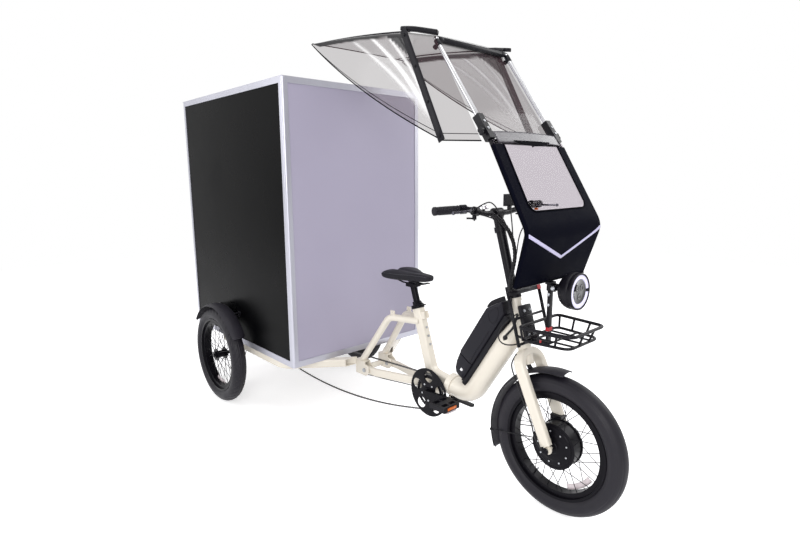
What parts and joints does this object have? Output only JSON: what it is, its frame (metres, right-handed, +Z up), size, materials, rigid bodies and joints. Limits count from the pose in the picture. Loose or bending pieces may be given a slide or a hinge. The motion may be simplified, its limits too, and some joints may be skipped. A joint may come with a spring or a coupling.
{
  "type": "cargo tricycle",
  "caption": "Pedal-assist cargo tricycle with a rigid box over the rear wheels, a hub motor in the front wheel, and a clear canopy with fairing over the rider.",
  "frame": {"origin": "on the ground, below the middle of the overall length and width", "axes": "+X forward, +Y to the rider's left, +Z up"},
  "size_m": [2.666, 1.075, 1.8783],
  "materials": {
    "cream_frame_paint": "semi-gloss cream powder coat",
    "black_frame_paint": "satin black powder coat",
    "black_rim_paint": "satin black",
    "tyre_rubber": "matt charcoal rubber",
    "motor_alloy": "black anodised",
    "bright_steel": "brushed",
    "box_aluminium": "satin anodised",
    "black_panel": "gloss",
    "pale_panel": "semi-gloss",
    "ply_floor": "sealed plywood",
    "black_plastic": "matt moulded",
    "grip_rubber": "matt",
    "saddle_cover": "matt coated cover over foam",
    "cover_cloth": "coated dark cloth",
    "clear_sheet": "clear, faintly grey-beige",
    "clear_shield": "clear grey tint",
    "lamp_lens": "clear lens with a pale ring"
  },
  "bodies": {
    "frame": {"head_tube": "cream_frame_paint", "main_tube": "cream_frame_paint", "seat_tube": "cream_frame_paint", "lower_stays": "cream_frame_paint", "upper_arms": "cream_frame_paint", "pivot_brackets": "cream_frame_paint", "rear_arms": "cream_frame_paint", "axle_beam": "cream_frame_paint", "drive_housing": "black_frame_paint", "axle_bearings": "black_frame_paint", "frame_bolts": "bright_steel", "frame_cables": "grip_rubber", "box_frame": "box_aluminium", "box_side_panels": "black_panel", "box_pale_panels": "pale_panel", "box_floor": "ply_floor", "rear_fenders": "black_frame_paint", "battery_tray": "black_plastic", "front_basket": "black_frame_paint", "fairing": "cover_cloth", "windshield_panel": "clear_shield", "windshield_frame": "black_frame_paint", "chain": "bright_steel", "derailleur": "black_frame_paint"},
    "canopy": {"canopy_tubes": "box_aluminium", "canopy_bands": "black_plastic", "canopy_sheet": "clear_sheet"},
    "steering": {"fork": "cream_frame_paint", "steering_post": "black_frame_paint", "handlebar": "black_frame_paint", "grips": "grip_rubber", "control_housings": "black_plastic", "front_fender": "black_frame_paint", "brake_caliper": "black_frame_paint", "steering_cables": "grip_rubber"},
    "front_wheel": {"front_tyre": "tyre_rubber", "front_rim": "black_rim_paint", "hub_motor": "motor_alloy", "front_brake_disc": "bright_steel"},
    "rear_right_wheel": {"rear_right_tyre": "tyre_rubber", "rear_right_wheel": "black_rim_paint"},
    "rear_left_wheel": {"rear_left_tyre": "tyre_rubber", "rear_left_wheel": "black_rim_paint"},
    "crank": {"chainring": "bright_steel", "crank_arms": "black_frame_paint"},
    "right_pedal": {"right_pedal": "black_plastic"},
    "left_pedal": {"left_pedal": "black_plastic"},
    "cassette": {"cassette": "bright_steel"},
    "right_brake_lever": {"right_brake_lever": "black_frame_paint"},
    "left_brake_lever": {"left_brake_lever": "black_frame_paint"},
    "shift_lever": {"shift_lever": "black_plastic"},
    "throttle_lever": {"throttle_lever": "black_plastic"},
    "battery": {"battery": "black_plastic"},
    "rear_door": {"rear_door": "pale_panel"},
    "door_handle": {"door_handle": "black_plastic"},
    "seat": {"saddle": "saddle_cover", "seatpost": "motor_alloy"},
    "headlight": {"headlight": "black_plastic", "headlight_lens": "lamp_lens"},
    "frame_latch": {"frame_latch_lever": "black_frame_paint"}
  },
  "joints": [
    {"name": "steer", "type": "hinge", "parent": "frame", "child": "steering", "pos_m": [0.89904, 0, 0.61713], "axis": [-0.2756, 0, 0.9613], "range_deg": [-32, 32]},
    {"name": "front_wheel_spin", "type": "hinge", "parent": "steering", "child": "front_wheel", "pos_m": [1.061, 0, 0.272], "axis": [0, 1, 0], "continuous": true},
    {"name": "rear_right_spin", "type": "hinge", "parent": "frame", "child": "rear_right_wheel", "pos_m": [-0.824, -0.4935, 0.272], "axis": [0, 1, 0], "continuous": true},
    {"name": "rear_left_spin", "type": "hinge", "parent": "frame", "child": "rear_left_wheel", "pos_m": [-0.824, 0.4935, 0.272], "axis": [0, 1, 0], "continuous": true},
    {"name": "crank_spin", "type": "hinge", "parent": "frame", "child": "crank", "pos_m": [0.426, 0, 0.297], "axis": [0, 1, 0], "continuous": true},
    {"name": "cassette_spin", "type": "hinge", "parent": "frame", "child": "cassette", "pos_m": [-0.824, -0.046, 0.272], "axis": [0, 1, 0], "continuous": true},
    {"name": "right_pedal_spin", "type": "hinge", "parent": "crank", "child": "right_pedal", "pos_m": [0.59037, -0.122, 0.31138], "axis": [0, 1, 0], "continuous": true},
    {"name": "left_pedal_spin", "type": "hinge", "parent": "crank", "child": "left_pedal", "pos_m": [0.26163, 0.122, 0.28262], "axis": [0, 1, 0], "continuous": true},
    {"name": "right_brake_pull", "type": "hinge", "parent": "steering", "child": "right_brake_lever", "pos_m": [0.79682, -0.21075, 1.15821], "axis": [0, 0, -1], "range_deg": [0, 20], "stiffness_Nm_per_rad": 0.6},
    {"name": "left_brake_pull", "type": "hinge", "parent": "steering", "child": "left_brake_lever", "pos_m": [0.79682, 0.21075, 1.15821], "axis": [0, 0, 1], "range_deg": [0, 20], "stiffness_Nm_per_rad": 0.6},
    {"name": "shift_push", "type": "hinge", "parent": "steering", "child": "shift_lever", "pos_m": [0.75527, -0.14425, 1.12008], "axis": [0, 0, -1], "range_deg": [0, 30], "stiffness_Nm_per_rad": 0.1},
    {"name": "throttle_push", "type": "hinge", "parent": "steering", "child": "throttle_lever", "pos_m": [0.75602, 0.151, 1.12133], "axis": [0, 0, 1], "range_deg": [0, 40], "stiffness_Nm_per_rad": 0.1},
    {"name": "battery_tip", "type": "hinge", "parent": "frame", "child": "battery", "pos_m": [0.60948, 0, 0.4076], "axis": [0, -1, 0], "range_deg": [0, 20]},
    {"name": "door_swing", "type": "hinge", "parent": "frame", "child": "rear_door", "pos_m": [-1.3012, 0.3955, 0.98464], "axis": [0, 0, -1], "range_deg": [0, 110]},
    {"name": "handle_turn", "type": "hinge", "parent": "rear_door", "child": "door_handle", "pos_m": [-1.305, -0.327, 0.98464], "axis": [1, 0, 0], "range_deg": [0, 90]},
    {"name": "seat_height", "type": "slide", "parent": "frame", "child": "seat", "axis": [-0.309, 0, 0.9511], "range_m": [-0.05, 0.08]},
    {"name": "lamp_tilt", "type": "hinge", "parent": "frame", "child": "headlight", "pos_m": [1.025, 0, 0.873], "axis": [0, 1, 0], "range_deg": [-12, 12]},
    {"name": "latch_swing", "type": "hinge", "parent": "frame", "child": "frame_latch", "pos_m": [0.522, 0, 0.29395], "axis": [0, 1, 0], "range_deg": [0, 75]},
    {"name": "canopy_slide", "type": "slide", "parent": "frame", "child": "canopy", "axis": [-0.5747, 0, 0.8184], "range_m": [0, 0.05]}
  ],
  "couplings": [
    {"joint": "cassette_spin", "follows": "crank_spin", "ratio": 2.8571}
  ]
}
